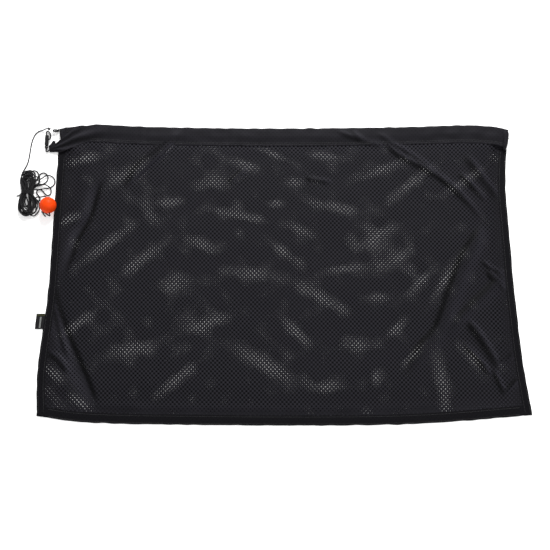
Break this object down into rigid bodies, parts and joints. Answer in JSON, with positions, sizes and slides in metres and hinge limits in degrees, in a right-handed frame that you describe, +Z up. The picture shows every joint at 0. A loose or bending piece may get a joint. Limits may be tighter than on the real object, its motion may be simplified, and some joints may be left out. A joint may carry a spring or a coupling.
{
  "type": "mesh laundry bag",
  "caption": "Flat two-layer mesh drawstring sack with hemmed seams, a corner bolt snap and steel ring, and a long thin cord tied in a hank with a round float.",
  "frame": {"origin": "on the floor under the middle of the back panel", "axes": "+X across the bag away from the closure corner, +Y towards the mouth, +Z up from the floor through both panels"},
  "size_m": [1.2305, 0.7356, 0.04],
  "materials": {
    "mesh_cloth": "perforated warp knit",
    "hem_cloth": "folded and stitched knit",
    "cord": "thin braided cord",
    "label_weave": "woven label",
    "black_plastic": "moulded satin",
    "steel": "polished wire",
    "float_paint": "satin paint"
  },
  "bodies": {
    "sack": {"back_mesh_panel": "mesh_cloth", "front_mesh_panel": "mesh_cloth", "left_seam_band": "hem_cloth", "right_seam_band": "hem_cloth", "bottom_seam_band": "hem_cloth", "back_casing": "hem_cloth", "front_casing": "hem_cloth", "drawcord": "cord", "woven_label": "label_weave", "snap_body": "black_plastic", "bolt_spring": "steel", "ring_hitch": "cord", "cord_run": "cord", "cord_hank": "cord", "cord_loops": "cord", "hank_tie": "cord", "cord_link": "cord", "stop_knot": "cord", "cord_tail": "cord"},
    "ring": {"steel_ring": "steel"},
    "bolt": {"snap_bolt": "black_plastic"},
    "swivel": {"swivel_eye": "black_plastic", "drawcord_eye_loop": "cord"},
    "float": {"float_ball": "float_paint"}
  },
  "joints": [
    {"name": "bolt_slide", "type": "slide", "parent": "sack", "child": "bolt", "axis": [0, -1, 0], "range_m": [0, 0.006], "stiffness_N_per_m": 300, "springref_m": -0.003, "deforming": ["bolt_spring"]},
    {"name": "swivel_turn", "type": "hinge", "parent": "sack", "child": "swivel", "pos_m": [-0.5894, 0.31, 0.0054], "axis": [0, 1, 0], "continuous": true},
    {"name": "ring_turn", "type": "hinge", "parent": "sack", "child": "ring", "pos_m": [-0.5785, 0.345, 0.0059], "axis": [0.2231, -0.4391, 0.8703], "continuous": true},
    {"name": "float_spin", "type": "hinge", "parent": "sack", "child": "float", "pos_m": [-0.5748, 0.1531, 0.02], "axis": [0.2201, -0.9755, 0], "continuous": true}
  ]
}
